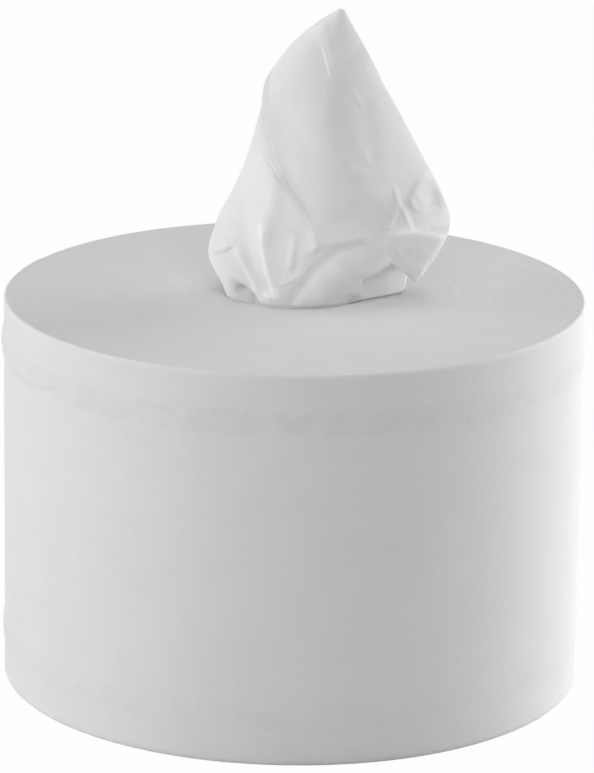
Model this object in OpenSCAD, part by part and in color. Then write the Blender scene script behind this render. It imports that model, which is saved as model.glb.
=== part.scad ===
// Coreless roll of two-ply paper for a dispenser that feeds from the centre. The web is wound round an
// empty hole, and its first sheet is drawn up out of that hole as a loosely wrapped, creased cone.
// Millimetres. The origin is on the roll's axis, on the face that it stands on, and +Z is up.

/* [Roll] */
// Outer diameter of the roll
roll_d = 200; // [170:1:240]
// Width of the paper web, which is the height of the roll
web_w = 135; // [110:1:200]
// Diameter of the hole down the middle
bore_d = 48; // [42:1:60]
// Bevel of the outer rims
rim_bevel = 0.6; // [0.2:0.1:2]

/* [Turns] */
// Distance between the turn lines that show on both ends
turn_pitch = 3; // [2:0.5:6]
// Depth of a turn line
turn_depth = 0.3; // [0.1:0.1:0.8]
// Width of a turn line
turn_line_w = 0.6; // [0.3:0.1:1.2]
// Height of the step at the free outer end of the web
web_end_step = 0.5; // [0.2:0.1:1]
// Direction of the free outer end, in degrees from the right side
web_end_angle = 155; // [0:5:355]

/* [Embossed bands] */
// Width of each embossed band round the wall
band_w = 9; // [4:1:20]
// Distance of each band from its rim
band_inset = 12; // [5:1:30]
// How far a band stands out from the wall
band_rise = 0.2; // [0.1:0.1:0.6]

/* [Pulled sheet] */
// Height of the sheet's tip above the roll
sheet_rise = 100; // [70:1:140]
// Widest reach of the sheet from side to side
sheet_span = 80; // [60:1:110]
// Widest reach of the sheet from front to back
sheet_depth = 44; // [36:1:60]
// Length of the sheet that stays down in the hole
sheet_tuck = 22; // [10:1:60]
// Thickness of the loose two-ply sheet
sheet_t = 0.5; // [0.3:0.1:1]
// Clearance between the sheet and the wall of the hole
sheet_gap = 0.3; // [0.2:0.1:1]
// Distance between the sheet's two layers where it laps over itself
lap_gap = 1.8; // [1.2:0.1:4]
// How far the turned-out lower corner stands out to the front
flap_reach = 8; // [0:1:12]
// How far that corner hangs down
flap_drop = 4; // [0:1:6]

/* [Hidden] */
roll_r = roll_d / 2;
bore_r = bore_d / 2;
cut = 1;
paper_colour = [0.94, 0.94, 0.95];

// Outline of one half of the roll, from the axis outwards, with the two raised bands in its wall.
function band_edge(r, z, dir) = [
    [r, z],
    [r + band_rise, z + dir * band_rise * 2],
    [r + band_rise, z + dir * (band_w - band_rise * 2)],
    [r, z + dir * band_w]
];
function roll_outline(r) = concat(
    [[0, 0], [r - rim_bevel, 0], [r, rim_bevel]],
    band_edge(r, band_inset, 1),
    band_edge(r, web_w - band_inset - band_w, 1),
    [[r, web_w - rim_bevel], [r - rim_bevel, web_w], [0, web_w]]
);

// Half of the roll on the left (side 1) or right (side -1) of the free end's direction.
module roll_half(r, side) {
    size = roll_r * 2 + cut * 4;
    intersection() {
        rotate_extrude($fn = 180) polygon(roll_outline(r));
        translate([-size / 2, side > 0 ? 0 : -size, -cut]) cube([size, size, web_w + cut * 2]);
    }
}

// V-shaped lines between groups of turns, cut into one end at height z. dir is 1 for the upper end.
module turn_lines(z, dir) {
    rotate_extrude($fn = 180)
        for (r = [bore_r + turn_pitch : turn_pitch : roll_r - turn_pitch])
            polygon([
                [r - turn_line_w / 2, z + dir * turn_depth / 10],
                [r, z - dir * turn_depth],
                [r + turn_line_w / 2, z + dir * turn_depth / 10]
            ]);
}

module wound_roll() {
    color(paper_colour)
    difference() {
        rotate([0, 0, web_end_angle]) {
            roll_half(roll_r, 1);
            translate([-web_end_step / 2, 0, 0]) roll_half(roll_r - web_end_step / 2, -1);
        }
        translate([0, 0, -cut]) cylinder(r = bore_r, h = web_w + cut * 2, $fn = 120);
        turn_lines(web_w, 1);
        turn_lines(0, -1);
    }
}

// The sheet is a lofted wrap. Each level has its height and its reach to the left, right, front and back,
// and the angles at which the sheet starts and ends there. 0 is the right side and -90 the front.
neck_r = bore_r - sheet_gap - sheet_t / 2;
function level(rise, left, right, front, back, start, end) = [
    rise / 100 * sheet_rise, left / 80 * sheet_span, right / 80 * sheet_span,
    front / 44 * sheet_depth, back / 44 * sheet_depth, start, end
];
function neck(height) = [height, -neck_r, neck_r, -neck_r, neck_r, -96, 300];
sheet_levels = [
    neck(-sheet_tuck),
    neck(-sheet_tuck / 2),
    neck(0),
    level(6, -27, 26, -22, 22, -97, 300),
    level(12, -30, 43, -20, 23, -98, 300),
    level(19, -29.5, 51, -19, 24, -99, 298),
    level(27, -27.5, 53, -18, 23, -102, 296),
    level(38, -22, 49, -18, 21, -114, 290),
    level(52, -17, 41.5, -15.5, 18, -140, 262),
    level(67, -13, 33.5, -12, 13, -159, 222),
    level(78, -9, 27.5, -9, 9, -178, 160),
    level(88, -2, 22, -5.5, 5, -180, 80),
    level(95, 6, 18, -3, 2.5, -180, 20),
    level(100, 13.5, 15.5, -1, 1, -180, -10)
];

// Folds that run up the sheet: angle and height at the lower end, the same at the upper end, push outwards
// (or inwards where it is negative) and half width in degrees.
sheet_folds = [
    [249, 0, 226, 38, 2.4, 9],
    [236, 0, 218, 20, 3, 9],
    [216, -4, 205, 14, -4, 12],
    [-100, 2, -58, 27, -3, 16],
    [-62, 0, -30, 14, 1.6, 22],
    [-48, 26, -52, 44, 1, 8],
    [-110, 28, -128, 62, 1.2, 16],
    [-85, 34, -96, 76, -1, 16],
    [60, 0, 80, 34, -2.5, 14],
    [105, 4, 112, 46, 2.5, 16],
    [150, 0, 146, 30, -2.5, 12],
    [20, 2, 28, 24, -2, 14]
];
// Direction and height of the turned-out corner, and how far it spreads round and up.
flap_angle = -33;
flap_height = 15;
flap_half_angle = 26;
flap_half_height = 12;

function tent(x) = max(0, 1 - abs(x));
function soft(x) = let (t = tent(x)) t * t * (3 - 2 * t);
function turned(angle) = (angle + 900) % 360 - 180;
function fold_push(fold, angle, height) =
    let (
        low = fold[1] / 100 * sheet_rise,
        high = fold[3] / 100 * sheet_rise,
        share = (height - low) / (high - low),
        centre = fold[0] + (fold[2] - fold[0]) * share
    )
    fold[4] * soft(share * 2 - 1) * tent(turned(angle - centre) / fold[5]);
function folds_push(angle, height, i = 0) =
    i == len(sheet_folds) ? 0 : fold_push(sheet_folds[i], angle, height) + folds_push(angle, height, i + 1);
function flap_share(angle, height) =
    tent((angle - flap_angle) / flap_half_angle) * tent((height / sheet_rise * 100 - flap_height) / flap_half_height);

function spline(p0, p1, p2, p3, t) =
    (2 * p1 + (p2 - p0) * t + (2 * p0 - 5 * p1 + 4 * p2 - p3) * t * t + (3 * p1 - p0 - 3 * p2 + p3) * t * t * t) / 2;
function level_at(s) =
    let (n = len(sheet_levels) - 1, i = min(floor(s), n - 1))
    spline(
        sheet_levels[max(i - 1, 0)], sheet_levels[i], sheet_levels[i + 1], sheet_levels[min(i + 2, n)], s - i
    );

// Point of the sheet's middle surface at level s and share u of the way round.
function sheet_point(s, u) =
    let (
        at = level_at(s),
        angle = at[5] + (at[6] - at[5]) * u,
        push = folds_push(angle, at[0]) - lap_gap * u * min(1, (sheet_rise - at[0]) / sheet_rise * 4),
        flap = flap_share(angle, at[0])
    )
    [
        (at[1] + at[2]) / 2 + ((at[2] - at[1]) / 2 + push) * cos(angle),
        (at[3] + at[4]) / 2 + ((at[4] - at[3]) / 2 + push) * sin(angle) - flap * flap_reach,
        web_w + at[0] - flap * flap_drop
    ];

// The same point moved by half the thickness, outwards or inwards.
function sheet_skin(s, u, side) =
    let (
        step = 0.02,
        n = len(sheet_levels) - 1,
        up = sheet_point(min(s + step, n), u) - sheet_point(max(s - step, 0), u),
        round = sheet_point(s, min(u + step / 4, 1)) - sheet_point(s, max(u - step / 4, 0)),
        normal = cross(round, up)
    )
    sheet_point(s, u) + normal / norm(normal) * sheet_t / 2 * side;

module pulled_sheet() {
    rows = (len(sheet_levels) - 1) * 2;
    columns = 60;
    function at(side, i, j) = side * (rows + 1) * (columns + 1) + i * (columns + 1) + j;
    function quad(a, b, c, d) = [[a, b, c], [a, c, d]];
    skin = [
        for (side = [1, -1], i = [0 : rows], j = [0 : columns]) sheet_skin(i / 2, j / columns, side)
    ];
    outer = [
        for (i = [0 : rows - 1], j = [0 : columns - 1])
            each quad(at(0, i, j), at(0, i + 1, j), at(0, i + 1, j + 1), at(0, i, j + 1))
    ];
    inner = [
        for (i = [0 : rows - 1], j = [0 : columns - 1])
            each quad(at(1, i, j), at(1, i, j + 1), at(1, i + 1, j + 1), at(1, i + 1, j))
    ];
    ends = [
        for (j = [0 : columns - 1])
            each concat(
                quad(at(0, 0, j), at(0, 0, j + 1), at(1, 0, j + 1), at(1, 0, j)),
                quad(at(0, rows, j), at(1, rows, j), at(1, rows, j + 1), at(0, rows, j + 1))
            )
    ];
    edges = [
        for (i = [0 : rows - 1])
            each concat(
                quad(at(0, i, 0), at(1, i, 0), at(1, i + 1, 0), at(0, i + 1, 0)),
                quad(at(0, i, columns), at(0, i + 1, columns), at(1, i + 1, columns), at(1, i, columns))
            )
    ];
    color(paper_colour) polyhedron(skin, concat(outer, inner, ends, edges));
}

wound_roll();
pulled_sheet();
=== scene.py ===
# %% [markdown]
# # A centrefeed roll of toilet paper
#
# The real object is one long web of two-ply paper, wound round an empty hole without a core. Its first
# sheet is pulled up out of that hole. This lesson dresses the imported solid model: it opens the model,
# sets the camera, the studio and the light, and then makes two pieces over it. The roll is a spun
# outline, and the sheet is a flat grid that is wrapped, folded and cut as the real paper is.

import math

import bmesh
import bpy
import numpy as np
from mathutils import Matrix, Vector, noise


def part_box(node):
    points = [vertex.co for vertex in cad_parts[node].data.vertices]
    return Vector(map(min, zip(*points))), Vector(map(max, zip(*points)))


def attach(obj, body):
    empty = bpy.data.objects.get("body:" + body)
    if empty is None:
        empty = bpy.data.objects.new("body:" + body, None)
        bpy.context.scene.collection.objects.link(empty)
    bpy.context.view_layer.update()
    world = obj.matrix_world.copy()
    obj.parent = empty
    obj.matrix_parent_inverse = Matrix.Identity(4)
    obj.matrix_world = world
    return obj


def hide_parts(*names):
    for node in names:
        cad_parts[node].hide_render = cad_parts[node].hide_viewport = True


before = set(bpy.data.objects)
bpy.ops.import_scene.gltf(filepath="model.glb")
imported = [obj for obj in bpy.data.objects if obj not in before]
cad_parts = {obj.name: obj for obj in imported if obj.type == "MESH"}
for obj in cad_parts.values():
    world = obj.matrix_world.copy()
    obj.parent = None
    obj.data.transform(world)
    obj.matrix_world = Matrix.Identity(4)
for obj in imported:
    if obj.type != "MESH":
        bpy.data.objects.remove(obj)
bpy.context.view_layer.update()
MM = 0.001
roll_low, roll_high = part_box("wound_roll")
sheet_low, sheet_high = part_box("pulled_sheet")

# %% [markdown]
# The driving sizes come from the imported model, so the pieces follow it. The roll's outer radius and
# height are half the width and the top of its box. The hole's radius is the least distance of any of its
# vertices from the axis, because nothing of the roll lies nearer to the axis than the wall of the hole.

# %% Sizes taken from the model
roll_r = (roll_high.y - roll_low.y) / 2
roll_h = roll_high.z
bore_r = min(math.hypot(v.co.x, v.co.y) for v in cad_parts["wound_roll"].data.vertices)
sheet_rise = sheet_high.z - roll_h
sheet_tuck = roll_h - sheet_low.z
print(f"roll {roll_r * 2000:.1f} mm across and {roll_h * 1000:.1f} mm high, hole {bore_r * 2000:.1f} mm")
print(f"sheet rises {sheet_rise * 1000:.1f} mm and stays {sheet_tuck * 1000:.1f} mm down in the hole")

# %% [markdown]
# ## Camera
#
# A product photograph like this is taken from far away with a long lens, so that upright edges stay
# nearly upright. The camera stands 1.74 m from the point that it looks at, 16.5 degrees above it, and is
# turned a little about its own line of sight. The distance, lens and turn were found by fitting the
# roll's rims.

# %% Camera
camera_data = bpy.data.cameras.new("camera")
camera_data.lens = 234.1
camera_data.sensor_width = 36
camera_data.clip_end = 20
camera = bpy.data.objects.new("camera", camera_data)
bpy.context.scene.collection.objects.link(camera)
CAMERA_AIM = Vector((0.001, 0, 0.1019))
CAMERA_DISTANCE = 1.736
CAMERA_ABOVE = math.radians(16.48)
CAMERA_ROLL = math.radians(0.78)
turn = Matrix.Rotation(math.pi / 2 - CAMERA_ABOVE, 4, "X") @ Matrix.Rotation(CAMERA_ROLL, 4, "Z")
stand = CAMERA_AIM + CAMERA_DISTANCE * Vector((0, -math.cos(CAMERA_ABOVE), math.sin(CAMERA_ABOVE)))
camera.matrix_world = Matrix.Translation(stand) @ turn
bpy.context.scene.camera = camera
print("camera at", tuple(round(c, 3) for c in stand))

# %% [markdown]
# ## Small helpers
#
# Materials are graphs of nodes, and small helpers keep the graphs readable: one adds any node and sets its
# sockets, the others add the nodes that the finishes need again and again. One more helper links a
# finished mesh into the scene as an object at the origin, because every piece keeps its place in its mesh.

# %% Helpers
def add_node(tree, kind, values=None, **settings):
    """A new node of that kind, with its settings, and its input sockets set or linked by name or number."""
    node = tree.nodes.new(kind)
    for name, value in settings.items():
        setattr(node, name, value)
    for key, value in (values or {}).items():
        if isinstance(value, bpy.types.NodeSocket):
            tree.links.new(value, node.inputs[key])
        else:
            node.inputs[key].default_value = value
    return node


def maths(tree, operation, *inputs):
    """The output of a Math node."""
    return add_node(tree, "ShaderNodeMath", dict(enumerate(inputs)), operation=operation).outputs[0]


def vector_maths(tree, operation, values, output="Vector"):
    """An output of a Vector Math node with those inputs."""
    return add_node(tree, "ShaderNodeVectorMath", values, operation=operation).outputs[output]


def smooth_step(tree, value, low, high):
    """0 at low, 1 at high and a smooth change between them; low may be the greater one."""
    values = {0: value, 1: low, 2: high}
    return add_node(tree, "ShaderNodeMapRange", values, interpolation_type="SMOOTHSTEP").outputs[0]


def weighted_sum(tree, parts, total=0.0):
    """The total with all parts added, each a value and its weight."""
    for value, weight in parts:
        total = maths(tree, "ADD", total, maths(tree, "MULTIPLY", value, weight))
    return total


def new_object(name, mesh):
    """An object at the origin that shows the mesh."""
    piece = bpy.data.objects.new(name, mesh)
    bpy.context.scene.collection.objects.link(piece)
    return piece


def blank_material(name):
    """A material with an empty graph, its output node and its tree."""
    material = bpy.data.materials.new(name)
    material.use_nodes = True
    tree = material.node_tree
    tree.nodes.clear()
    return material, tree, tree.nodes.new("ShaderNodeOutputMaterial")


# %% [markdown]
# ## Studio
#
# The photograph has a pure white ground. The floor is one large plane. Its material is a plain white
# paint for every ray that lights the roll, and nearly white light for the rays from the camera, so that
# the ground shows white while a trace of the roll's own shadow stays under it.

# %% Floor
FLOOR_SIZE = 8
WHITE_SHARE = 0.97
floor_mesh = bpy.data.meshes.new("floor")
shape = bmesh.new()
bmesh.ops.create_grid(shape, x_segments=1, y_segments=1, size=FLOOR_SIZE / 2)
shape.to_mesh(floor_mesh)
shape.free()
floor = new_object("floor", floor_mesh)


def rays_that_see_white(tree):
    """1 for rays of the camera, of mirror-like gloss and through clear material, 0 for the rest."""
    path = add_node(tree, "ShaderNodeLightPath")
    seen = maths(tree, "MAXIMUM", path.outputs["Is Camera Ray"], path.outputs["Is Glossy Ray"])
    return maths(tree, "MAXIMUM", seen, path.outputs["Is Transmission Ray"])


floor_paint, tree, out = blank_material("floor_paint")
paint = add_node(tree, "ShaderNodeBsdfDiffuse", {"Color": (0.8, 0.8, 0.8, 1)})
glow = add_node(tree, "ShaderNodeEmission", {"Color": (1, 1, 1, 1), "Strength": 1})
white_part = maths(tree, "MULTIPLY", rays_that_see_white(tree), WHITE_SHARE)
mix = add_node(tree, "ShaderNodeMixShader", {0: white_part, 1: paint.outputs[0], 2: glow.outputs[0]})
tree.links.new(mix.outputs[0], out.inputs["Surface"])
floor_mesh.materials.append(floor_paint)
print("floor", FLOOR_SIZE, "m square")

# %% [markdown]
# The brightness across the roll's wall says where the light comes from. It is darkest a little right of
# the middle, grows slowly to the left edge and fast to the right edge. So one low softbox stands straight
# to the left, and a stronger one to the right and somewhat behind, which also shines through the thin
# sheet. Two weaker ones in front, one overhead and a dim world give the wall's middle, the sheet and the
# top face their level. Their strengths were fitted one lamp at a time.

# %% World and softboxes
FILL = 0.14
LAMP_AIM = Vector((0, 0, 0.12))
world = bpy.data.worlds.new("studio")
world.use_nodes = True
bpy.context.scene.world = world
tree = world.node_tree
tree.nodes.clear()
tint = add_node(
    tree,
    "ShaderNodeMix",
    {"Factor": rays_that_see_white(tree), 6: (FILL, FILL, FILL, 1), 7: (1, 1, 1, 1)},
    data_type="RGBA",
)
sky = add_node(tree, "ShaderNodeBackground", {"Color": tint.outputs[2], "Strength": 1})
add_node(tree, "ShaderNodeOutputWorld", {"Surface": sky.outputs[0]})


def softbox(name, place, size, power, colour=(1, 1, 1)):
    """A rectangular soft lamp at that place, turned towards the middle of the object."""
    data = bpy.data.lights.new(name, "AREA")
    data.shape = "RECTANGLE"
    data.size, data.size_y = size
    data.energy = power
    data.color = colour
    lamp = bpy.data.objects.new(name, data)
    aim = LAMP_AIM - Vector(place)
    lamp.rotation_euler = aim.to_track_quat("-Z", "Y").to_euler()
    lamp.location = place
    bpy.context.scene.collection.objects.link(lamp)


softbox("left_softbox", (-1.55, -0.09, 0.28), (1.2, 0.54), 14, (1, 0.99, 0.975))
softbox("right_softbox", (1.36, 0.75, 0.28), (1.0, 0.54), 24.8, (1, 0.985, 0.995))
softbox("front_softbox", (0, -1.8, 0.9), (1.6, 1.0), 5.8)
softbox("high_front_softbox", (0, -1.0, 1.7), (1.6, 1.0), 9.2)
softbox("top_softbox", (0, 0.3, 1.9), (1.4, 1.0), 8)
bpy.context.scene.view_settings.view_transform = "Standard"

# %% [markdown]
# ## Wound roll
#
# The roll is a body of revolution, so its outline is drawn once and spun. The outline goes from the hole
# outwards along the underside, up the wall, inwards over the top and down the hole. The wall and the ends
# get many short steps, so that the turns, the embossed bands and the loose outer end can be shaped on
# them afterwards. A plain cylinder would be quicker, but it has no points to shape.

# %% Outline of the roll and its spin
RIM_BEVEL = 0.6 * MM
SPIN_STEPS = 288


def steps(first, last, count):
    """Evenly spaced values after first, up to and with last."""
    return [first + (last - first) * (i + 1) / count for i in range(count)]


shape = bmesh.new()
outline = [(bore_r, 0.0)]
outline += [(r, 0.0) for r in steps(bore_r, roll_r - RIM_BEVEL, 38)]
outline += [(roll_r, z) for z in [RIM_BEVEL] + steps(RIM_BEVEL, roll_h - RIM_BEVEL, 90)]
outline += [(roll_r - RIM_BEVEL, roll_h)]
outline += [(r, roll_h) for r in steps(roll_r - RIM_BEVEL, bore_r, 95)]
outline += [(bore_r, z) for z in steps(roll_h, 0, 27)[:-1]]
corners = [shape.verts.new((r, 0, z)) for r, z in outline]
edges = [shape.edges.new(pair) for pair in zip(corners, corners[1:] + corners[:1])]
bmesh.ops.spin(
    shape,
    geom=corners + edges,
    cent=(0, 0, 0),
    axis=(0, 0, 1),
    angle=math.tau,
    steps=SPIN_STEPS,
    use_merge=True,
)
bmesh.ops.recalc_face_normals(shape, faces=shape.faces)
roll_mesh = bpy.data.meshes.new("wound_roll_visual")
shape.to_mesh(roll_mesh)
shape.free()
print("roll:", len(roll_mesh.vertices), "vertices,", len(roll_mesh.polygons), "faces")

# %% [markdown]
# Paper wound by machine is never quite even. Groups of turns stand a few hundredths of a millimetre
# higher or lower on the ends, the wall swells a little at the two embossed bands, where the plies are
# pressed together and lie thicker, and the free outer end leaves a small step. Near that end, just
# behind the left edge in the picture, the outer turn is loose and puffs out at the bands. Nothing holds
# the innermost turns, so at the front they lean a few millimetres into the hole; a table gives that lean
# round the hole. Smooth curves of the angle, the radius and the height give all of these, so they are
# worked out for every vertex at once.

# %% Relief of the roll
BAND_WIDTH = 9 * MM
BAND_INSET = 12 * MM
END_ANGLE = math.radians(155)
END_STEP = 0.5 * MM
LEAN_ANGLES = [0, 180, 191, 205, 220, 231, 245, 257, 279, 300, 319, 334, 342, 360]
LEAN_MM = [0, 0, 0.2, 1.6, 5.0, 5.8, 5.2, 5.1, 5.4, 4.1, 3.4, 1.2, 0.1, 0]
LEAN_DEEP = 20 * MM
LEAN_WIDE = 20 * MM
BAND_SWELL = 0.12 * MM
LOOSE_ANGLE, LOOSE_HALF_WIDTH = 172, 34
LOOSE_PUFFS = [
    # height, half width and push of each puff of the loose turn
    (16.5 * MM, 6.5 * MM, 0.75 * MM),
    (119 * MM, 7 * MM, 1.1 * MM),
]
RING_RELIEF = 0.06 * MM
END_INSET = 0.05 * MM
co = np.empty(len(roll_mesh.vertices) * 3, np.float32)
roll_mesh.vertices.foreach_get("co", co)
co = co.reshape(-1, 3).astype(float)
radius = np.hypot(co[:, 0], co[:, 1])
angle = np.arctan2(co[:, 1], co[:, 0])
z = co[:, 2].copy()


def ramp(x, low, high):
    """0 below low, 1 above high and a smooth rise between them."""
    t = np.clip((x - low) / (high - low), 0, 1)
    return t * t * (3 - 2 * t)


def hill(x, centre, half_width):
    """A smooth hill of height 1."""
    return ramp(1 - np.abs(x - centre) / half_width, 0, 1)


def band(z):
    """1 in the middle of the two embossed bands and 0 away from them."""
    low = BAND_INSET + BAND_WIDTH / 2
    return hill(z, low, BAND_WIDTH * 0.75) + hill(z, roll_h - low, BAND_WIDTH * 0.75)


def wavy(values, seed, scale):
    """Smooth noise along one row of values."""
    return np.array([noise.noise(Vector((v * scale, seed, 0.5))) for v in values])


def lip_lean(around, depth):
    """How far the innermost turns lean into the hole, in metres, at an angle and a depth below the top."""
    return np.interp(around % 360, LEAN_ANGLES, LEAN_MM) * MM * ramp(LEAN_DEEP - depth, 0, LEAN_DEEP)


around = np.degrees(angle) % 360
from_end = (angle - END_ANGLE) % math.tau
on_wall = radius > roll_r - RIM_BEVEL * 1.5
spiral = -END_STEP * from_end / math.tau
puffs = sum(rise * hill(z, height, half_width) for height, half_width, rise in LOOSE_PUFFS)
swell = BAND_SWELL * band(z) + hill(around, LOOSE_ANGLE, LOOSE_HALF_WIDTH) * puffs
swell *= ramp(z, 2 * MM, 6 * MM) * ramp(roll_h - z, 2 * MM, 6 * MM)
push = np.where(on_wall, spiral + swell, 0)
push -= lip_lean(around, roll_h - z) * ramp(bore_r + LEAN_WIDE - radius, 0, LEAN_WIDE)
ring_radii, which_ring = np.unique(np.round(radius / MM, 3), return_inverse=True)
ring_relief = wavy(ring_radii, 3.1, 0.9)[which_ring]
on_top = (z > roll_h - 0.1 * MM) & ~on_wall & (radius > bore_r + 0.5 * MM)
co[:, 0] += np.cos(angle) * push
co[:, 1] += np.sin(angle) * push
co[:, 2] += np.where(on_top, ring_relief * RING_RELIEF - END_INSET, 0)
roll_mesh.vertices.foreach_set("co", co.astype(np.float32).ravel())
roll_mesh.shade_smooth()
roll = new_object("wound_roll_visual", roll_mesh)
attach(roll, "root")
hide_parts("wound_roll")
print(f"outer turn stands out by up to {push.max() / MM:.2f} mm, lip leans in by up to {max(LEAN_MM)} mm")

# %% [markdown]
# ## Pulled sheet: the wrap
#
# The sheet is a rectangle of thin paper that comes up out of the hole wrapped round itself. A cloth
# simulation could crumple it, but not into the very folds of the photograph, so its folds are given one by
# one: it starts as a flat grid, and every vertex is put in its place in the wrap. A table gives the wrap at
# a few
# heights above the roll: its reach to the left, right, front and back, and the angles at which the sheet
# starts and ends there (0 is right, -90 is front). The wrap starts at the edge that crosses the front,
# goes right, round the back and in under its own start. A spline joins the heights. The last column says
# how many rows of the grid lie above each height, more where the creases are small.

# %% Levels of the wrap, in millimetres and degrees
LEVELS = np.array([
    # height, left, right, front, back, start, end, rows
    [-22, -23.2, 23.4, -23.2, 23.4, -94, 400, 3],
    [-11, -23.2, 23.4, -21.6, 23.4, -94, 400, 5],
    [0, -24.4, 23.8, -18.5, 23.4, -93, 400, 4],
    [0.6, -25.4, 24, -18.8, 23.4, -93, 400, 3],
    [1.3, -25.9, 24.6, -19.1, 23.2, -93, 400, 3],
    [2.6, -26.3, 25.5, -19.1, 23, -92.5, 400, 6],
    [6, -27.6, 30, -19.3, 22, -92, 400, 11],
    [12, -30, 43, -19.4, 23, -93, 396, 12],
    [19, -29.5, 51, -19, 24, -95.5, 380, 14],
    [27, -27.5, 53, -18, 23, -101, 340, 18],
    [38, -22, 49, -18, 21, -114, 296, 18],
    [52, -17, 41.5, -15.5, 18, -140, 262, 15],
    [67, -13, 33.5, -12, 13, -159, 222, 11],
    [78, -9, 27.5, -9, 9, -178, 160, 10],
    [88, -2, 22, -5.5, 5, -180, 80, 7],
    [95, 6, 18, -3, 2.5, -180, 20, 7],
    [100, 13.7, 15.3, -1, 1, -180, -10, 0],
])
deepest, highest = -LEVELS[0, 0] * MM, LEVELS[-1, 0] * MM
LEVELS[:, 0] *= np.where(LEVELS[:, 0] < 0, sheet_tuck / deepest, sheet_rise / highest)
UPWARDS = int(LEVELS[:, 7].sum())
ROWS_BELOW = np.concatenate([[0], np.cumsum(LEVELS[:-1, 7])])


def levels_at(row):
    """The table's values at each row of the grid, along a spline through the table."""
    s = np.interp(row, ROWS_BELOW, np.arange(len(LEVELS)))
    last = len(LEVELS) - 1
    i = np.minimum(np.floor(s).astype(int), last - 1)
    t = (s - i)[:, None]
    p0, p1 = LEVELS[np.maximum(i - 1, 0)], LEVELS[i]
    p2, p3 = LEVELS[i + 1], LEVELS[np.minimum(i + 2, last)]
    bend = (2 * p0 - 5 * p1 + 4 * p2 - p3) * t + (3 * p1 - p0 - 3 * p2 + p3) * t * t
    return ((2 * p1 + (p2 - p0) * t + bend * t) / 2)[:, :7].T


print("levels:", len(LEVELS), "from", LEVELS[0, 0], "to", LEVELS[-1, 0], "mm, grid rows:", UPWARDS)

# %% [markdown]
# ## Pulled sheet: folds and creases
#
# Two kinds of fold shape the wrap. Those at the sides and back run up the sheet and are given by an angle
# and a height at each end. Those that face the front are drawn as they look from the front, as paths of
# points (across, up) with the width of each flank and a push towards the viewer, or away where it is
# negative. The first width is that of the flank on the left of a path that runs down, or below a path
# that runs right. A sharp one has a tent for its section, a soft one a rounded hill. A narrow left flank
# catches the left light, and shows as the thin bright line that a crease in paper has.

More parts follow.
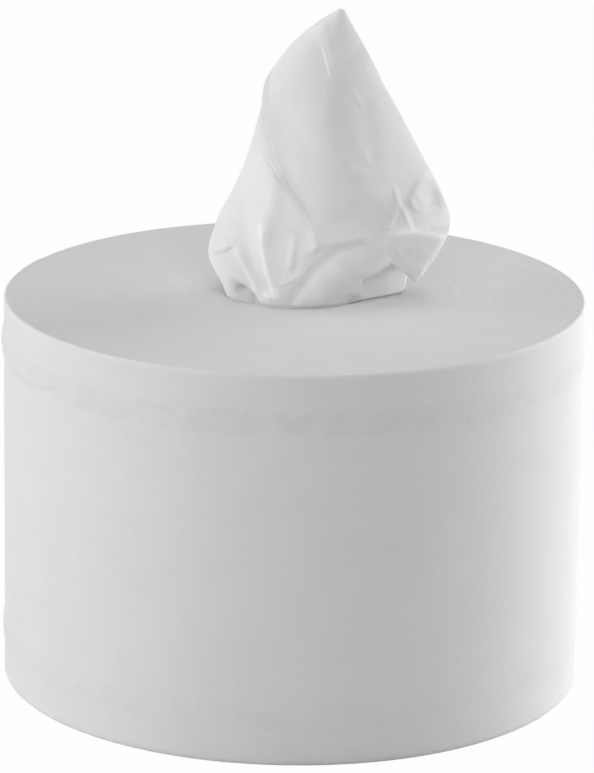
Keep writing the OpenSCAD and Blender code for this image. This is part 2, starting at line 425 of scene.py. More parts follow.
# %% Folds and creases, in millimetres and degrees
SIDE_FOLDS = [
    # angle and height at the lower end, at the upper end, push outwards, half width in degrees
    (60, 0, 80, 34, -2.5, 14),
    (105, 4, 112, 46, 2.5, 16),
    (150, 0, 146, 30, -2.5, 12),
    (20, 2, 28, 24, -2, 14),
    (128, 20, 120, 80, -1.2, 12),
    (85, 30, 70, 74, 1.4, 14),
    (176, 4, 172, 26, 1.2, 14),
    (212, -4, 220, 9, -4.5, 17),
    (332, -4, 332, 4, -2, 10),
]
FRONT_CREASES = {
    # path of (across, up), widths of the two flanks, push, sharp or soft
    "left fold": ([(-8.5, 46), (-8.7, 37), (-10.3, 29), (-11, 22)], (6, 6), 1.2, "soft"),
    "left fold line": (
        [(-12, 29.5), (-11.9, 21.4), (-10.4, 13.9), (-7.9, 7), (-6.8, 4)], (1.1, 4.5), 1.1, "sharp",
    ),
    "left dip": ([(-16.6, 47), (-17.1, 36), (-16.6, 22.8), (-14, 9)], (4, 4), -0.6, "soft"),
    "second fold": ([(-21.2, 19.3), (-17.2, 13.2), (-12.7, 4.5)], (1.1, 3.5), 1.3, "sharp"),
    "pillow": ([(-30, 14.6), (-25, 17.4), (-21.5, 20)], (1.3, 4), 1.6, "sharp"),
    "hollow": ([(-18, 5.4), (-16.8, 3)], (4.4, 3.6), -1.6, "soft"),
    "bump": ([(-10.5, 3.2), (-7.4, 4.2), (-4.5, 5)], (3, 3), 1.3, "soft"),
    "little fold": ([(-5, 8.3), (-0.2, 10.4), (2.5, 12.5)], (1, 2.5), 0.9, "sharp"),
    "roll-under valley": (
        [(-1.1, 2.7), (2.8, 8.3), (7.5, 14.7), (15.2, 20.9), (21.4, 22), (26.9, 20.6)],
        (3.6, 3), -0.8, "soft",
    ),
    "valley foot": ([(-1.5, 1), (0.5, 5), (3.2, 9)], (3, 3), -0.8, "soft"),
    "roll-under crest": (
        [(0.4, 16.5), (3.5, 20), (7.2, 22.1), (13.4, 23.5), (21.3, 25.4), (26.1, 26.6)],
        (2.5, 7), 0.8, "sharp",
    ),
    "crescent": ([(5.4, 27), (6.4, 23.1), (5.9, 19.2)], (2.2, 1), 0.9, "sharp"),
    "soft strip": ([(-0.4, 24.6), (-2.2, 12.6)], (2, 2), 0.6, "soft"),
    "soft strip shade": ([(1.6, 22.3), (-0.2, 13.6)], (2, 2), -0.25, "soft"),
    "lower bulge": ([(5.7, 6.5), (10.1, 9.5), (17, 11.5)], (8, 5), 0.8, "soft"),
    "fork crest": ([(30.6, 26), (34.5, 19.6), (40.4, 11), (41.2, 6)], (3.4, 9), 1.1, "sharp"),
    "fork branch": ([(22.9, 12.2), (26.3, 13.2), (31.8, 16.8)], (1.5, 2.4), 0.9, "sharp"),
    "brow": ([(30.6, 26), (38.9, 25.6), (45.3, 23), (52.7, 20.4)], (9, 1.3), 1.5, "sharp"),
    "flap edge": ([(41.9, 6.8), (45.3, 9.9), (49.3, 15.6), (52.6, 20.4)], (1, 1.2), 0.5, "sharp"),
    "pinch stem": ([(33.5, 41), (34.3, 37.3), (34.8, 34.4)], (0.9, 0.9), 0.8, "sharp"),
    "pinch left": ([(34.8, 35.1), (31.8, 28.4), (31.5, 27)], (0.9, 1.2), 0.7, "sharp"),
    "pinch right": ([(35, 34.8), (36.7, 32.5), (38.5, 27.6), (39.1, 26.4)], (0.9, 1.2), 0.8, "sharp"),
    "arc": (
        [(46.2, 43.3), (43.8, 42.8), (41.8, 41.5), (40.1, 39), (38.9, 36.7), (39.3, 34.2), (40.7, 32.3)],
        (1, 2.5), 0.9, "sharp",
    ),
    "small arc": ([(41.5, 37.5), (42, 34.8)], (0.8, 1.2), 0.4, "sharp"),
    "right dish": ([(46, 38), (46.5, 31)], (4, 4), -1, "soft"),
    "top crease": ([(4.8, 94.7), (8.4, 88.7), (11.3, 78)], (0.9, 2), 0.6, "sharp"),
    "second top crease": ([(7.2, 95.7), (9.7, 90), (11.9, 80)], (0.9, 2), 0.45, "sharp"),
    "short crease": ([(18.9, 73.1), (21.4, 67.8)], (0.8, 1.5), 0.4, "sharp"),
    "middle crease": ([(23, 53.5), (24.4, 49.1)], (0.9, 1.5), 0.4, "sharp"),
    "panel valley": ([(-6, 64), (-5.4, 54.6), (-2, 43.2), (4.6, 31.8)], (3, 5), -0.5, "soft"),
    "panel ridge": ([(8, 74), (9, 55.3), (12.5, 42), (18.5, 29.8)], (14, 12), 1.0, "soft"),
    "panel shade": ([(22, 72), (25, 55), (28, 40)], (5, 5), -0.5, "soft"),
}
PANEL_ONLY = ("panel valley", "panel ridge", "panel shade")


def tent(x):
    """1 at 0, falling straight to 0 at a distance of 1."""
    return np.maximum(0, 1 - np.abs(x))


def soft(x):
    """1 at 0, falling smoothly to 0 at a distance of 1."""
    t = tent(x)
    return t * t * (3 - 2 * t)


def away_from_path(points, across, up):
    """Distance of each place from a path, and how far along the path it is nearest, from 0 to 1.

    The distance is positive on the right of a path that runs down, or above a path that runs right.
    """
    points = np.array(points, float)
    lengths = np.hypot(*np.diff(points, axis=0).T)
    before = np.concatenate([[0], np.cumsum(lengths)])
    nearest = np.full(across.shape, np.inf)
    side = np.ones(across.shape)
    along = np.zeros(across.shape)
    for (x0, z0), (x1, z1), length, start in zip(points, points[1:], lengths, before):
        dx, dz = (x1 - x0) / length, (z1 - z0) / length
        share = np.clip((across - x0) * dx + (up - z0) * dz, 0, length)
        away = np.hypot(across - x0 - share * dx, up - z0 - share * dz)
        closer = away < nearest
        along = np.where(closer, (start + share) / before[-1], along)
        side = np.where(closer, np.sign((up - z0) * dx - (across - x0) * dz), side)
        nearest = np.minimum(nearest, away)
    return nearest * side, along


def crease_push(across, up, outer):
    """The push of all front creases together; those of the panel are in the outer layer alone."""
    total = np.zeros(across.shape)
    for name, (path, (before, beyond), push, section) in FRONT_CREASES.items():
        away, along = away_from_path(path, across, up)
        flank = away / np.where(away < 0, before, beyond)
        profile = tent(flank) if section == "sharp" else soft(flank)
        profile = profile * (outer if name in PANEL_ONLY else 1)
        total += push * profile * (0.35 + 0.65 * ramp(tent(along * 2 - 1), 0, 0.35))
    return total


def side_push(degrees, up):
    """The push of the folds at the sides and back."""
    total = np.zeros(degrees.shape)
    for low_angle, low, high_angle, high, push, width in SIDE_FOLDS:
        share = (up - low) / (high - low)
        centre = low_angle + (high_angle - low_angle) * share
        apart = (degrees - centre + 180) % 360 - 180
        total += push * soft(share * 2 - 1) * tent(apart / width)
    return total


print("side folds:", len(SIDE_FOLDS), "front creases:", len(FRONT_CREASES))

# %% [markdown]
# Where tissue is creased, less light comes through it. Along the creases, the narrow strip between two
# creases, the left hem and the cut edge, a painted highlight makes the colour paler where they catch the
# light. This table says which creases get it, with the half width of the line in millimetres and its
# strength. Towards the tip and along the edge that laps over, the paper lies in two layers, so less light
# comes through it. There, in the pocket low on the left, beside it, under the turned corner and at the
# sides, painted shade makes the colour darker, and less light comes through as well.

# %% Painted highlights and painted shade of the sheet
# Paths of (across, up) in millimetres: the strip of the fork, its branch, the left hem and the cut line get
# painted highlights; the pocket and the facet get painted shade.
FORK_STRIP = [(28.3, 25), (31.2, 20), (33, 17), (37.5, 11.5), (40.6, 7.5)]
FORK_BRANCH = [(23.5, 11.4), (26.5, 12.2), (32, 16.2)]
LEFT_HEM = [(-29.2, 14), (-27.4, 8.6), (-25.4, 3.5)]
POCKET = [(-17.8, 4.6), (-17, 2.6)]
FACET = [(-22.5, 17), (-19.5, 10), (-17, 4)]
CUT_LINE = [(23.1, -1), (23.1, 10)]
# Creases whose line gets a painted highlight: half width in millimetres and strength.
HIGHLIGHT_LINES = {
    "left fold line": (0.6, 0.9),
    "second fold": (0.55, 1),
    "little fold": (0.5, 0.6),
    "crescent": (0.8, 0.7),
    "pinch stem": (0.5, 1),
    "pinch left": (0.5, 0.8),
    "pinch right": (0.5, 1),
    "arc": (0.5, 0.7),
    "small arc": (0.4, 0.6),
    "top crease": (0.5, 0.8),
    "second top crease": (0.45, 0.6),
    "short crease": (0.5, 0.6),
    "middle crease": (0.6, 0.5),
    "flap edge": (0.7, 1),
    "brow": (0.5, 0.6),
}
HIGHLIGHT_PATHS = [(FORK_STRIP, 1.7, 1), (FORK_BRANCH, 1.3, 0.9), (LEFT_HEM, 0.5, 1), (CUT_LINE, 0.5, 1)]
POCKET_RADIUS = 3.6
EDGE_MARGIN = 3.4
FLAP_LEFT, FLAP_TOP = 28, 25.5


def near_path(path, across, up, width):
    """1 on a path and fading out to its width, also towards its ends."""
    away, along = away_from_path(path, across, up)
    return ramp(1.6 - np.abs(away) / width, 0, 1) * ramp(tent(along * 2 - 1), -0.1, 0.3)


def highlighted(across, up):
    """How strongly each place gets a painted highlight, from 0 to 1."""
    lines = [(FRONT_CREASES[name][0], *line) for name, line in HIGHLIGHT_LINES.items()] + HIGHLIGHT_PATHS
    marks = [strength * near_path(path, across, up, width) for path, width, strength in lines]
    return np.max(marks, axis=0)


def painted_shade(across, up, degrees, from_edge):
    """Where painted shade darkens the paper and less light comes through, from 0 to 1."""
    # Painted shade in the pocket and the facet beside it, along the lapped edge, under the turned corner,
    # at the sides and towards the tip.
    pocket = ramp(POCKET_RADIUS - np.abs(away_from_path(POCKET, across, up)[0]), 0, 0.9)
    facet = 0.45 * near_path(FACET, across, up, 4)
    margin = 0.75 * ramp(EDGE_MARGIN - from_edge, 0, 2.2) * ramp(up, 28, 36) * (degrees < 0)
    tip = 0.5 * ramp(up, 18, 76) + 0.5 * ramp(up, 64, 80) * ramp(-degrees, 88, 130)
    left_side = 0.35 * ramp(-across, 17, 24) * ramp(up, 6, 12)
    right_side = 0.4 * ramp(across, 26, 42) * ramp(up, 26, 34)
    past_crest = away_from_path(FRONT_CREASES["fork crest"][0], across, up)[0]
    flap = 0.5 * ramp(past_crest, 0.3, 1.5) * ramp(FLAP_TOP - up, 0, 1.5) * (across > FLAP_LEFT)
    parts = [pocket, facet, margin, flap, tip + left_side, tip + right_side]
    return np.clip(np.max(parts, axis=0), 0, 1)


print("whitened creases:", len(HIGHLIGHT_LINES) + len(HIGHLIGHT_PATHS))

# %% [markdown]
# The columns of the grid lie close together where the sheet faces the front and left, which hold the
# small creases, and further apart at the back. For that, each row is filled by the share of a density
# that is added up round the wrap.

# %% Columns of the grid
AROUND = 318


def column_angles(start, end):
    """The angles of one row's columns, from start to end, in degrees."""
    fine = np.linspace(start, end, 600)
    at_front = 0.95 * (1 - ramp(fine, -20, 5))
    at_left = 0.65 * ramp(fine, 165, 180) * (1 - ramp(fine, 275, 290))
    density = 0.35 + at_front + at_left
    filled = np.cumsum(density)
    shares = (filled - filled[0]) / (filled[-1] - filled[0])
    return np.interp(np.linspace(0, 1, AROUND + 1), shares, fine)


front_spacing = np.diff(column_angles(-95, 380))[20]
print(f"columns: {AROUND}, {front_spacing:.2f} degrees apart at the front")

# %% [markdown]
# Now the grid is made and wrapped. Its lower right corner at the front is turned out and down, as the real
# one is. Where the sheet laps over itself, the inner layer keeps clear of the outer one, and on the right
# it spreads over the rim and stands up as a low wall, so that it shows in the cut-out under the turned
# corner. Low down, the outer layer is pressed onto the inner one and its edge almost vanishes; higher up
# that edge is lifted a little. Inside the hole the sheet keeps just clear of the leaning turns, and above
# them it swells out slowly. Towards the tip and on the right the wrap is folded flat: its section changes
# from an oval to a lens. Each vertex also keeps its place on the flat paper, in metres, and how much
# painted highlight and painted shade it gets, as attributes that the finish reads.

# %% The wrapped grid
LAP = 1.4
PRESSED = 0.5
LIFT = 0.8
RAGGED = 0.5
NOTCH, NOTCH_UP = 1.6, 43
CORNER_ANGLE, CORNER_UP = -33, 15
CORNER_DROP = 9
FLATTENED = 0.9
INNER_RIGHT = [
    (-22, 23), (0, 23.6), (0.3, 34), (0.6, 38), (1.4, 39.2), (2.6, 39.6), (6, 39.8), (12, 40), (19, 40),
    (27, 42), (38, 44), (52, 38), (100, 15),
]
INNER_WALL = [(20, -9), (23, -6.5), (32, -2), (40, 5)]
INNER_FRONT = [
    (-22, -23), (0, -17), (0.6, -13), (6, -12), (12, -13), (19, -14), (27, -15), (38, -16), (52, -14),
    (100, -1),
]
HOLE_GAP = 0.17
SPREAD = 0.25
CRUMPLE = 0.16
CRUMPLE_SIZE = 11
SMOOTHING = 0.15
shape = bmesh.new()
bmesh.ops.create_grid(shape, x_segments=AROUND, y_segments=UPWARDS, size=0.5)
shape.verts.ensure_lookup_table()
flat = np.array([v.co for v in shape.verts])
order = np.lexsort((flat[:, 0].round(6), flat[:, 1].round(6)))
rows = len(np.unique(flat[:, 1].round(6)))
columns = len(flat) // rows
up, left, right, front, back, start, end = levels_at(np.linspace(0, UPWARDS, rows))
end = np.maximum(end, start + 20)
degrees = np.array([column_angles(a, b) for a, b in zip(start, end)])[:, :columns]
ragged = RAGGED * wavy(up, 7.7, 0.8) + NOTCH * tent((up - NOTCH_UP) / 1.3)
per_row = (up, left, right, front, back, start)
up, left, right, front, back, start = (value[:, None] + 0 * degrees for value in per_row)
degrees += ragged[:, None] * ramp(start + 12 - degrees, 0, 12)
turn = np.radians(degrees)
inner = ramp(degrees, 280, 330)
right = right + inner * (np.interp(up, *zip(*INNER_RIGHT)) - right)
front = front + inner * (np.interp(up, *zip(*INNER_FRONT)) - front)
inset = LAP * np.clip((degrees + 96) / 360, 0, 1.2) * np.clip((100 - up) / 25, 0, 1)
pressed = (LAP - PRESSED) * tent((degrees - start) / 32) * ramp(25 - up, 0, 7)
lifted = LIFT * tent((degrees - start) / 10) * ramp(up, 32, 42) * ramp(84 - up, 0, 10)
out = side_push(degrees, up) - inset - pressed + lifted
to_right = ramp(np.cos(turn), 0.1, 0.7) * ramp(up, 5, 12)
flatter = np.abs(np.sin(turn)) ** (FLATTENED * np.maximum(ramp(up, 20, 62), to_right))
x = (left + right) / 2 + ((right - left) / 2 + out) * np.cos(turn)
y = (front + back) / 2 + ((back - front) / 2 + out) * np.sin(turn) * flatter
wall = np.maximum(y, np.interp(x, *zip(*INNER_WALL)))
y += (wall - y) * ramp(degrees, 278, 296) * ramp(20 - up, 0, 6)
under_start = PRESSED * ramp(degrees - start, 330, 362)
in_hole = bore_r / MM - HOLE_GAP - lip_lean(degrees, -up * MM) / MM - under_start
in_hole += np.minimum(side_push(degrees, up), 0) + SPREAD * np.maximum(up, 0)
above = ramp(up, 0.05, 8 - 7.5 * inner)
x = x * above + in_hole * np.cos(turn) * (1 - above)
y = y * above + in_hole * np.sin(turn) * (1 - above)
corner = tent((degrees - CORNER_ANGLE) / 30) * tent((up - CORNER_UP) / 13)
up = up - corner * CORNER_DROP
facing = ramp(-np.sin(turn), 0.0, 0.4) * ramp(up, 0, 2.4)
y -= crease_push(x, up, ramp(90 - degrees, 0, 1)) * facing
spots = np.stack([x, y, up], axis=2).reshape(-1, 3) / CRUMPLE_SIZE
crumple = np.reshape([noise.fractal(Vector(spot), 1, 2, 3) for spot in spots], x.shape)
y -= crumple * CRUMPLE * facing
places = np.stack([x, y, up], axis=2) * MM
places[:, :, 2] += roll_h
across_web = np.cumsum(np.linalg.norm(np.diff(places, axis=1, prepend=places[:, :1]), axis=2), axis=1)
along_web = np.cumsum(np.abs(np.diff(up, axis=0, prepend=up[:1])), axis=0) * MM
# A painted highlight along the lapped edge, where its cut edge catches the light.
edge_highlight = ramp(0.8 * MM - across_web, 0, 0.3 * MM) * ramp(up, 26, 32) * ramp(60 - up, 0, 8)
# Attributes for the finish: the way round, the place on the flat paper, the painted highlight and the
# painted shade.
values = {
    "way": degrees.ravel(),
    "across_web": across_web.ravel(),
    "along_web": along_web.ravel(),
    "painted_highlight": np.maximum(edge_highlight, highlighted(x, up) * ramp(-np.sin(turn), -0.1, 0.2)).ravel(),
    "painted_shade": (painted_shade(x, up, degrees, across_web / MM) * ramp(-np.sin(turn), -0.1, 0.2)).ravel(),
}
layers = {name: shape.verts.layers.float.new(name) for name in values}
for i, vertex in enumerate(np.array(shape.verts, dtype=object)[order]):
    vertex.co = places.reshape(-1, 3)[i]
    for name, layer in layers.items():
        vertex[layer] = values[name][i]
bmesh.ops.smooth_vert(
    shape,
    verts=shape.verts,
    factor=SMOOTHING,
    use_axis_x=True,
    use_axis_y=True,
    use_axis_z=False,
)
way = layers["way"]
print("grid:", rows, "rows of", columns, "vertices")

# %% [markdown]
# The turned-out corner is bounded by the paper's cut edge: straight up out of the hole, out to a notch,
# down to the corner and up the right side. Each stretch is a plane that runs from front to back, so
# bisecting the outer layer with those planes and deleting what lies below them leaves clean edges.

# %% The cut edge at the lower right
CUT_EDGE = [
    (22.7, -30), (22.7, 10), (26, 10.5), (32.6, 14.8), (41, 6.3), (45, 9.4), (49.1, 15.3), (52.4, 20.5),
    (60, 40),
]
CUT_TOLERANCE = 0.02 * MM


def outer_faces():
    """Faces of the outer layer near the corner."""
    return [f for f in shape.faces if -80 < f.verts[0][way] < 75 and f.calc_center_median().x > 18 * MM]


def below_cut(x, up):
    """True for a place on the cut-off side of the cut edge."""
    if x < CUT_EDGE[0][0]:
        return False
    xs, ups = zip(*CUT_EDGE[1:])
    return up < np.interp(x, xs, ups)


for (x0, z0), (x1, z1) in zip(CUT_EDGE, CUT_EDGE[1:]):
    faces = outer_faces()
    edges = {e for f in faces for e in f.edges}
    verts = {v for f in faces for v in f.verts}
    bmesh.ops.bisect_plane(
        shape,
        geom=faces + list(edges) + list(verts),
        plane_co=(x0 * MM, 0, roll_h + z0 * MM),
        plane_no=Vector((z1 - z0, 0, x0 - x1)).normalized(),
        dist=CUT_TOLERANCE,
    )
cut_off = []
for face in outer_faces():
    middle = face.calc_center_median()
    if below_cut(middle.x / MM, (middle.z - roll_h) / MM):
        cut_off.append(face)
bmesh.ops.delete(shape, geom=cut_off, context="FACES")
bmesh.ops.recalc_face_normals(shape, faces=shape.faces)
sheet_mesh = bpy.data.meshes.new("pulled_sheet_visual")
shape.to_mesh(sheet_mesh)
shape.free()
sheet_mesh.shade_smooth()
print("sheet after the cut:", len(sheet_mesh.polygons), "faces")

# %% [markdown]
# Two plies of tissue are about 0.3 mm thick when they lie loose. A Solidify modifier gives the sheet that
# thickness and its thin cut edges.

# %% Thickness of the sheet
PAPER_THICKNESS = 0.3 * MM
sheet = new_object("pulled_sheet_visual", sheet_mesh)
solidify = sheet.modifiers.new("thickness", "SOLIDIFY")
solidify.thickness = PAPER_THICKNESS
solidify.offset = 0
solidify.use_even_offset = False
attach(sheet, "root")
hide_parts("pulled_sheet")
print("sheet thickness:", round(PAPER_THICKNESS / MM, 2), "mm")

# %% [markdown]
# ## Paper finishes
#
# Both pieces are the same two-ply tissue, so they share its cloudy fibre and its crepe, the fine ridges
# that run across the web. The roll's colour is darker than the sheet's: painted shade over the whole roll.
# On the roll's wall the web runs round, so the crepe stands upright there. The finish is built from parts.
# Each part is a function that adds its nodes to a graph and gives back a value between 0 and 1, or a height
# for the bump.

# %% Parts of the paper finish
# The roll's paper white, darker than the same paper of the sheet: painted shade.
ROLL_WHITE_WITH_PAINTED_SHADE = 0.74


def waves(tree, distance, pitch):
    """A ripple of that pitch along a distance, from -1 to 1."""
    return maths(tree, "SINE", maths(tree, "MULTIPLY", distance, math.tau / pitch))


def band_mask(tree, distance, low, high, edge):
    """1 between low and high with soft edges of that width, 0 outside."""
    rise = smooth_step(tree, distance, low - edge, low + edge)
    fall = smooth_step(tree, distance, high + edge, high - edge)
    return maths(tree, "MULTIPLY", rise, fall)


def flat_place(tree, first, second):
    """A vector of two values, for a texture that lies on the paper."""
    return add_node(tree, "ShaderNodeCombineXYZ", {0: first, 1: second}).outputs[0]


def clouds(tree, place, scale, detail=3.0, rough=0.55):
    """Soft noise from 0 to 1."""
    return add_node(
        tree, "ShaderNodeTexNoise", {"Vector": place, "Scale": scale, "Detail": detail, "Roughness": rough},
    ).outputs["Fac"]


def crosshatch(tree, first, second, pitch, place):
    """The fine ridges that are rolled into the paper to hold its plies, in patches of either slant."""
    down = waves(tree, maths(tree, "ADD", first, second), pitch)
    rising = waves(tree, maths(tree, "SUBTRACT", first, second), pitch)
    which = smooth_step(tree, clouds(tree, place, 170, 1.0), 0.46, 0.54)
    mixed = add_node(tree, "ShaderNodeMix", {"Factor": which, 2: down, 3: rising}, data_type="FLOAT")
    return mixed.outputs[0]


def from_mesh(tree, name):
    """A value that every vertex of the mesh keeps under that name."""
    node = add_node(tree, "ShaderNodeAttribute", attribute_name=name, attribute_type="GEOMETRY")
    return node.outputs["Fac"]


def matt_paper(tree, shade, height):
    """The colour, the bump and the matt surface of paper, from its shade and its height in millimetres."""
    colour = add_node(tree, "ShaderNodeCombineColor", {0: shade, 1: shade, 2: shade}).outputs[0]
    bump = add_node(tree, "ShaderNodeBump", {"Height": height, "Strength": 1.0, "Distance": MM}).outputs[0]
    surface = add_node(tree, "ShaderNodeBsdfPrincipled", {
        "Base Color": colour, "Roughness": 0.9, "Specular IOR Level": 0.2, "Normal": bump,
    })
    return colour, bump, surface.outputs[0]


print("paper white:", ROLL_WHITE_WITH_PAINTED_SHADE)

# %% [markdown]
# The roll's finish reads the place on the wall as a distance round and a height, and the place on the
# ends as a distance from the axis. The embossed bands lie at the same heights as the swells of the mesh.
# The ends show the edges of the turns as fine rings that are never quite even. A few single creases are
# drawn one by one, each along a short path. Besides their bump, they get pale lines of painted highlight
# and dark lines of painted shade in the colour.

# %% Single creases of the roll, in millimetres
TOP_MARKS = [
    # path of (right, back) on the top end, half width, strength (above 0 a pale line of painted highlight,
    # below 0 a dark line of painted shade)
    ([(83, -13.4), (91, -15.6), (98, -18.3)], 0.7, -1),
    ([(-77.5, -50), (-71, -46.3), (-64.8, -42.7), (-53.4, -42.7)], 0.8, 0.8),
    ([(34.4, 6.1), (52, 2.4), (77.5, 0)], 2, 0.3),
    ([(30, 2.5), (44, 0.5), (58, -3.5)], 2, 0.25),
]
WALL_MARKS = [
    # path of (round, up) on the wall, half width, strength as on the top end (round is 0 at the right and
    # runs anticlockwise)
    ([(-280.5, 116.2), (-270, 115.4), (-260, 115.6), (-250, 117.2), (-242, 119)], 0.8, -0.7),
    ([(-120.5, 112.5), (-117, 117), (-115, 121)], 0.6, 0.8),
    ([(-116.5, 113.5), (-113, 118.5), (-111, 122)], 0.6, -0.8),
    ([(-112.5, 114.5), (-109.5, 119), (-107.5, 123)], 0.6, 0.7),
    ([(-80, 114.5), (-77, 119), (-74.5, 123.5)], 0.6, 0.7),
    ([(-77, 113.5), (-74, 118.5), (-71.5, 122.5)], 0.6, -0.7),
    ([(-160, 25), (-150, 24.4), (-133, 25.2)], 0.8, 0.4),
]


def near_mark(tree, place, path, half_width):
    """1 on a path over a flat place and fading out to its half width."""
    nearest = None
    for first, second in zip(path, path[1:]):
        begin, finish = (Vector((*corner, 0)) * MM for corner in (first, second))
        direction = (finish - begin).normalized()
        apart = vector_maths(tree, "SUBTRACT", {0: place, 1: begin})
        share = vector_maths(tree, "DOT_PRODUCT", {0: apart, 1: direction}, "Value")
        share = maths(tree, "MINIMUM", maths(tree, "MAXIMUM", share, 0.0), (finish - begin).length)
        foot = vector_maths(tree, "SCALE", {0: direction, "Scale": share})
        away = vector_maths(tree, "DISTANCE", {0: apart, 1: foot}, "Value")
        nearest = away if nearest is None else maths(tree, "MINIMUM", nearest, away)
    return smooth_step(tree, nearest, half_width * MM, 0.0)


def all_marks(tree, place, marks):
    """The sum of all marks on one surface, each with its strength."""
    lines = [(near_mark(tree, place, path, width), strength) for path, width, strength in marks]
    return weighted_sum(tree, lines)


print("single creases:", len(TOP_MARKS), "on the top,", len(WALL_MARKS), "on the wall")

# %% [markdown]
# The finish adds up five heights for the bump: the embossed pattern, the crepe of the wall, the turns on
# the ends, the fibre and the single creases. A painted highlight makes the rim between wall and end a
# little paler, where its bevel catches the light.

# %% Finish of the wound roll
HATCH_PITCH = 1.0 * MM
wound_paper, tree, out = blank_material("wound_paper")
coords = add_node(tree, "ShaderNodeTexCoord").outputs["Object"]
px, py, pz = add_node(tree, "ShaderNodeSeparateXYZ", {0: coords}).outputs
round_way = maths(tree, "MULTIPLY", maths(tree, "ARCTAN2", py, px), roll_r)
squares = [maths(tree, "MULTIPLY", distance, distance) for distance in (px, py)]
from_axis = maths(tree, "SQRT", maths(tree, "ADD", *squares))
on_ends = smooth_step(tree, from_axis, roll_r - 0.5 * MM, roll_r - 1.2 * MM)
on_the_wall = maths(tree, "SUBTRACT", 1.0, on_ends)
wall_place = flat_place(tree, round_way, pz)
low_band = band_mask(tree, pz, BAND_INSET, BAND_INSET + BAND_WIDTH, 0.8 * MM)
high_band = band_mask(tree, pz, roll_h - BAND_INSET - BAND_WIDTH, roll_h - BAND_INSET, 0.8 * MM)
hatch = crosshatch(tree, round_way, pz, HATCH_PITCH, wall_place)
patches = clouds(tree, wall_place, 130, 2.0)
patchy = add_node(tree, "ShaderNodeMapRange", {0: patches, 1: 0.3, 2: 0.55}).outputs[0]
bands = maths(tree, "ADD", maths(tree, "MULTIPLY", low_band, 0.8), high_band)
hatch = maths(tree, "MULTIPLY", maths(tree, "MULTIPLY", hatch, patchy), bands)
wall_marks = maths(tree, "MULTIPLY", all_marks(tree, wall_place, WALL_MARKS), on_the_wall)
top_marks = maths(tree, "MULTIPLY", all_marks(tree, flat_place(tree, px, py), TOP_MARKS), on_ends)
on_top = maths(tree, "GREATER_THAN", pz, roll_h / 2)
marks = maths(tree, "ADD", wall_marks, top_marks)
marks = maths(tree, "MULTIPLY", marks, maths(tree, "MAXIMUM", on_top, on_the_wall))
stretched = flat_place(tree, maths(tree, "MULTIPLY", round_way, 5.0), pz)
crepe = clouds(tree, stretched, 330, 3.0, 0.6)
bend = maths(tree, "MULTIPLY", clouds(tree, coords, 22, 1.0), 2.2 * MM)
bent_radius = maths(tree, "ADD", from_axis, bend)
turns = clouds(tree, flat_place(tree, bent_radius, 0.37), 900, 4.0, 0.65)
crepe_height = maths(tree, "MULTIPLY", maths(tree, "SUBTRACT", crepe, 0.5), on_the_wall)
turn_height = maths(tree, "MULTIPLY", maths(tree, "SUBTRACT", turns, 0.5), on_ends)
fibre = clouds(tree, coords, 1500, 3.0, 0.6)
height = weighted_sum(tree, [
    (hatch, 0.05), (crepe_height, 0.12), (turn_height, 0.06), (fibre, 0.07), (marks, 0.12),
])
mottle = maths(tree, "SUBTRACT", clouds(tree, coords, 60, 4.0, 0.6), 0.5)
# A painted highlight: the rim between wall and end is made paler where its bevel catches the light.
rim_highlight = band_mask(tree, pz, roll_h - 0.9 * MM, roll_h + 1 * MM, 0.4 * MM)
rim_highlight = maths(tree, "MULTIPLY", rim_highlight, maths(tree, "GREATER_THAN", from_axis, roll_r - 1.2 * MM))
# The creases' pale and dark lines in the colour are painted highlight and painted shade.
shades = [(mottle, 0.05), (turn_height, 0.08), (rim_highlight, 0.02), (marks, 0.03)]
shade = weighted_sum(tree, shades, ROLL_WHITE_WITH_PAINTED_SHADE)
surface = matt_paper(tree, shade, height)[2]
tree.links.new(surface, out.inputs["Surface"])
roll_mesh.materials.append(wound_paper)
print("roll finish:", len(tree.nodes), "nodes")

# %% [markdown]
# The pulled sheet is thin enough for light to pass, so its finish mixes the matt surface with a
# translucent one. Less light comes through where it has painted highlight or painted shade, and the painted
# highlight makes its colour paler, the painted shade darker. The sheet's own attributes say where a point
# lies on the flat paper, so the crepe and one embossed band follow the folds.

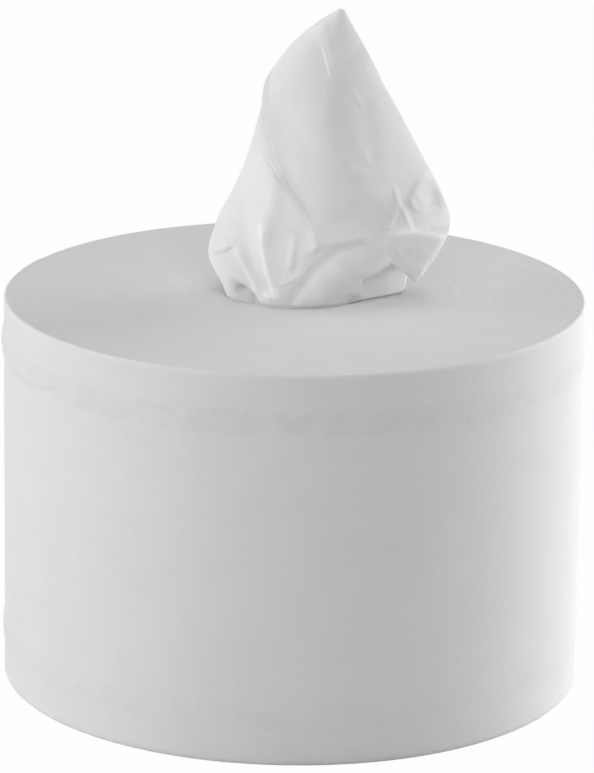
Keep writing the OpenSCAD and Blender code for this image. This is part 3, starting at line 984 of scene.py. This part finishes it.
# %% Finish of the pulled sheet
SHEET_WHITE = 0.95
LIGHT_THROUGH = 0.5
PAINTED_HIGHLIGHT_AMOUNT = 0.04
PAINTED_SHADE_AMOUNT = 0.12
HELD_BY_CREASES = 0.6
HELD_BY_LAYERS = 0.9
SHEET_BAND = (25 * MM, 34 * MM)
HATCH_FROM, HATCH_FULL = roll_h + 24 * MM, roll_h + 32 * MM
sheet_paper, tree, out = blank_material("sheet_paper")
coords = add_node(tree, "ShaderNodeTexCoord").outputs["Object"]
across, along = from_mesh(tree, "across_web"), from_mesh(tree, "along_web")
painted_highlight, painted_shade_mask = from_mesh(tree, "painted_highlight"), from_mesh(tree, "painted_shade")
paper_place = flat_place(tree, across, along)
crepe = clouds(tree, flat_place(tree, across, maths(tree, "MULTIPLY", along, 4.0)), 420, 3.0, 0.6)
fibre = clouds(tree, coords, 1400, 3.0, 0.6)
sheet_band = band_mask(tree, across, SHEET_BAND[0], SHEET_BAND[1], 1.2 * MM)
hatch = crosshatch(tree, across, along, HATCH_PITCH, paper_place)
up_here = add_node(tree, "ShaderNodeSeparateXYZ", {0: coords}).outputs[2]
above_brow = add_node(tree, "ShaderNodeMapRange", {0: up_here, 1: HATCH_FROM, 2: HATCH_FULL}).outputs[0]
hatch = maths(tree, "MULTIPLY", maths(tree, "MULTIPLY", hatch, sheet_band), above_brow)
height = weighted_sum(tree, [(crepe, 0.06), (fibre, 0.05), (hatch, 0.04)])
mottle = maths(tree, "SUBTRACT", clouds(tree, coords, 210, 4.0, 0.6), 0.5)
# The colour gets a painted highlight along the creases and edges and painted shade in the pocket, under the
# turned corner, along the lapped edge and towards the tip.
shade = weighted_sum(tree, [(mottle, 0.06), (painted_highlight, PAINTED_HIGHLIGHT_AMOUNT), (painted_shade_mask, -PAINTED_SHADE_AMOUNT)], SHEET_WHITE)
colour, bump, surface = matt_paper(tree, shade, height)
through = add_node(tree, "ShaderNodeBsdfTranslucent", {"Color": colour, "Normal": bump})
held_by_creases = maths(tree, "MULTIPLY", painted_highlight, HELD_BY_CREASES)
held_by_layers = maths(tree, "MULTIPLY", painted_shade_mask, HELD_BY_LAYERS)
passing = maths(tree, "SUBTRACT", 1.0, maths(tree, "MAXIMUM", held_by_creases, held_by_layers))
share = maths(tree, "MULTIPLY", passing, LIGHT_THROUGH)
mix = add_node(tree, "ShaderNodeMixShader", {0: share, 1: surface, 2: through.outputs[0]})
tree.links.new(mix.outputs[0], out.inputs["Surface"])
sheet_mesh.materials.append(sheet_paper)
print("sheet finish:", len(tree.nodes), "nodes")
